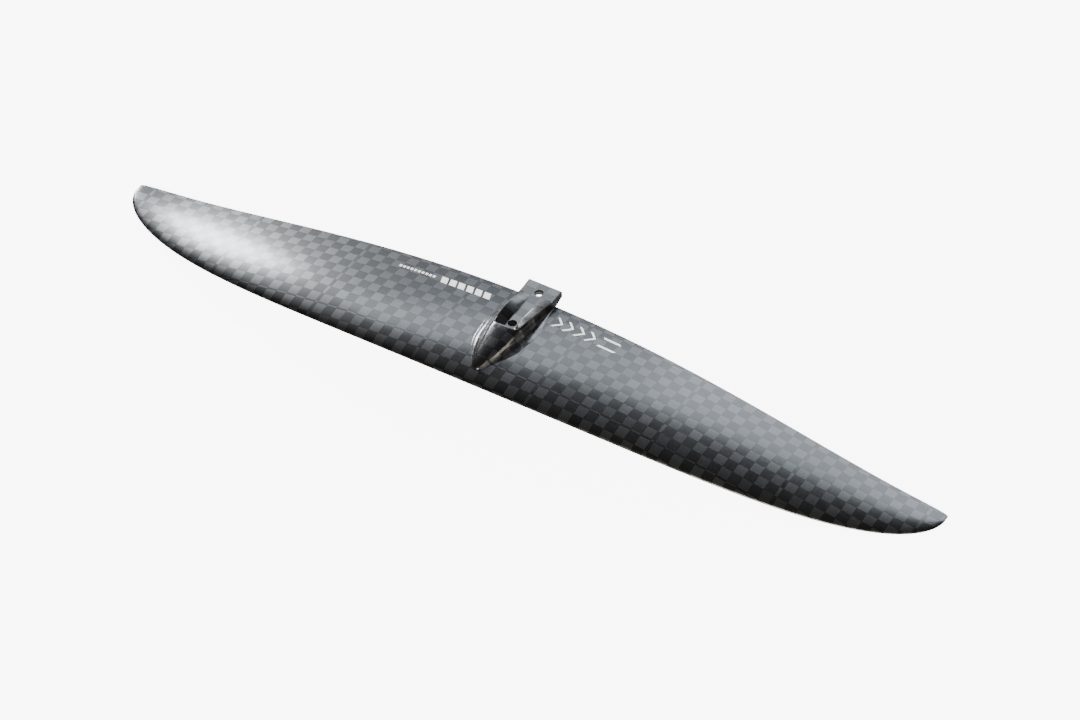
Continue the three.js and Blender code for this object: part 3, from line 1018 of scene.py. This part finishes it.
def turned(name, profiles, material, capped=False):
    """A ring, or a capped solid, turned from the radius and height pairs for each place on the chord."""
    points, faces, places = [], [], []
    for y, profile in profiles:
        count = len(profile)
        start = len(points)
        for step in range(TURN_STEPS):
            angle = 2 * math.pi * step / TURN_STEPS
            for radius, z in profile:
                points.append((radius * math.cos(angle), y + radius * math.sin(angle), z))
                places.append((radius, z, 0.0))
        for step in range(TURN_STEPS):
            here = start + step * count
            following = start + (step + 1) % TURN_STEPS * count
            for k in range(count - 1 if capped else count):
                beyond = (k + 1) % count
                faces.append((here + k, here + beyond, following + beyond, following + k))
        if capped:
            faces.append(tuple(start + step * count for step in range(TURN_STEPS)))
            faces.append(tuple(start + step * count + count - 1 for step in reversed(range(TURN_STEPS))))
    return make_piece(name, np.array(points) * MM, faces, np.array(places), material)


# %% Bores and pockets
CUT_TOP = 8.0
CUT_BOTTOM = -40.0
CUT_FLARE = 0.4
POCKET_PLAY = 0.05


def bolt_facts(node):
    """A seat's place along the chord, its two faces and its radius, in millimetres."""
    low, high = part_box(node)
    return {"y": (low[1] + high[1]) / 2 / MM, "face": low[2] / MM, "top": high[2] / MM,
            "radius": (high[0] - low[0]) / 2 / MM}


def cutter_profile(bolt):
    pocket = bolt["radius"] + POCKET_PLAY
    roof = bolt["top"] + POCKET_PLAY
    flare = BORE_RADIUS + BORE_CHAMFER
    return [(flare + CUT_FLARE, CUT_TOP), (flare + CUT_FLARE, CUT_FLARE), (flare, 0.0),
            (BORE_RADIUS, -BORE_CHAMFER), (BORE_RADIUS, roof), (pocket, roof), (pocket, CUT_BOTTOM)]


bolts = {name: bolt_facts(name) for name in ("bolt_seat_front", "bolt_seat_rear")}
cutter = turned("bolt_cutter", [(bolt["y"], cutter_profile(bolt)) for bolt in bolts.values()],
                plain_carbon, capped=True)
for piece in (upper_skin, lower_skin, cradle):
    drill = piece.modifiers.new("bores", "BOOLEAN")
    drill.operation = "DIFFERENCE"
    drill.solver = "EXACT"
    drill.object = cutter
    apply_modifiers(piece)
    smooth(piece)
    print(piece.name, "drilled, faces:", len(piece.data.polygons))
bpy.data.objects.remove(cutter)
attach(cradle, "root")
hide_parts("fuselage_cradle")

# %% Turned stainless
RINGS_PER_MM = 6.0
RING_RELIEF = (0.25, 0.03 * MM)
RING_ROUGHNESS = 0.16
STEEL_ROUGHNESS = 0.22
DARK_STEEL = grey(0.46, -0.02)
BRIGHT_STEEL = grey(0.62, -0.01)


def stainless_material():
    """Bright steel with fine rings from the lathe."""
    bench = Bench("turned_stainless")
    place = bench.add("ShaderNodeAttribute", {"attribute_name": CLOTH_ATTRIBUTE}, {}, "Vector")
    radius = bench.add("ShaderNodeSeparateXYZ", {}, {0: place}, 0)
    height = bench.add("ShaderNodeSeparateXYZ", {}, {0: place}, 1)
    turns = {0: radius * RINGS_PER_MM, 1: height * RINGS_PER_MM, 2: 0.0}
    vector = bench.add("ShaderNodeCombineXYZ", {}, turns)
    rings = bench.add("ShaderNodeTexNoise", {}, {"Vector": vector, "Scale": 2.0, "Detail": 2.0})
    relief = bench.relief(rings, *RING_RELIEF)
    colour = bench.mix(rings, DARK_STEEL, BRIGHT_STEEL)
    roughness = STEEL_ROUGHNESS + RING_ROUGHNESS * rings
    return bench.surface(base_color=colour, metallic=1.0, roughness=roughness, normal=relief)


print("steel roughness from", STEEL_ROUGHNESS, "to", STEEL_ROUGHNESS + RING_ROUGHNESS)


# %% Bolt seats
LEAD_IN = 0.3
SEAT_CHAMFER = 0.25
SEAT_CREASE_ANGLE = 20.0


def seat_profile(bolt):
    outer = bolt["radius"]
    face, top = bolt["face"], bolt["top"]
    return [(BORE_RADIUS, top), (BORE_RADIUS, face + LEAD_IN), (BORE_RADIUS + LEAD_IN, face),
            (outer - SEAT_CHAMFER, face), (outer, face + SEAT_CHAMFER), (outer, top - SEAT_CHAMFER),
            (outer - SEAT_CHAMFER, top)]


stainless = stainless_material()
for node, bolt in bolts.items():
    seat = turned(node + "_turned", [(bolt["y"], seat_profile(bolt))], stainless)
    smooth(seat, SEAT_CREASE_ANGLE)
    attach(seat, "root")
    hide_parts(node)
print("seats:", len(bolts))

# %% [markdown]
# ## The pieces inside
# Spar caps, webs, fillers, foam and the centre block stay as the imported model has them, because little of
# them shows when the wing is whole. They still have their own finishes for a reader who takes it apart:
# streaks along the span in unidirectional carbon, layers in solid laminate, and cells in foam.

# %% Inner finishes
FIBRE_GRAIN = (20.0, 4000.0, 900.0)
FIBRE_RELIEF = (0.2, 0.04 * MM)
LAYER_GRAIN = (60.0, 60.0, 5000.0)
LAYER_RELIEF = (0.3, 0.05 * MM)
CELLS_PER_METRE = 1400.0
CELL_RELIEF = (0.5, 0.2 * MM)
PALE_FOAM = (0.78, 0.70, 0.46, 1.0)
DARK_FOAM = (0.56, 0.48, 0.28, 1.0)


def grain(bench, stretch, detail):
    """Noise drawn out by a different amount along each axis of the piece."""
    place = bench.add("ShaderNodeTexCoord", {}, {}, "Object")
    stretched = bench.add("ShaderNodeVectorMath", {"operation": "MULTIPLY"}, {0: place, 1: stretch})
    return bench.add("ShaderNodeTexNoise", {}, {"Vector": stretched, "Scale": 1.0, "Detail": detail})


def unidirectional_material():
    bench = Bench("unidirectional_carbon")
    streak = grain(bench, FIBRE_GRAIN, 3.0)
    relief = bench.relief(streak, *FIBRE_RELIEF)
    colour = bench.mix(streak, grey(0.012), grey(0.05, -0.02))
    return bench.surface(base_color=colour, metallic=0.6, roughness=0.36 + 0.2 * streak, normal=relief)


def laminate_material():
    bench = Bench("solid_carbon")
    layers = grain(bench, LAYER_GRAIN, 2.0)
    relief = bench.relief(layers, *LAYER_RELIEF)
    colour = bench.mix(layers, grey(0.008), grey(0.03))
    return bench.surface(base_color=colour, metallic=0.3, roughness=0.45 + 0.15 * layers, normal=relief)


def foam_material():
    bench = Bench("foam_core")
    place = bench.add("ShaderNodeTexCoord", {}, {}, "Object")
    packing = {"Vector": place, "Scale": CELLS_PER_METRE}
    cells = bench.add("ShaderNodeTexVoronoi", {}, packing, "Distance")
    relief = bench.relief(cells, *CELL_RELIEF)
    colour = bench.mix(cells, PALE_FOAM, DARK_FOAM)
    return bench.surface(base_color=colour, roughness=0.85, normal=relief)


# %% Dress the inner nodes
inner_finish = {
    "unidirectional_carbon": unidirectional_material(),
    "solid_carbon": laminate_material(),
    "foam_core": foam_material(),
}
for entry in frame["record"]["subparts"]:
    finish = inner_finish.get(entry["material_slot"])
    if finish:
        mesh = frame["nodes"][entry["node"]].data
        mesh.materials.clear()
        mesh.materials.append(finish)
print("inner finishes:", ", ".join(inner_finish))
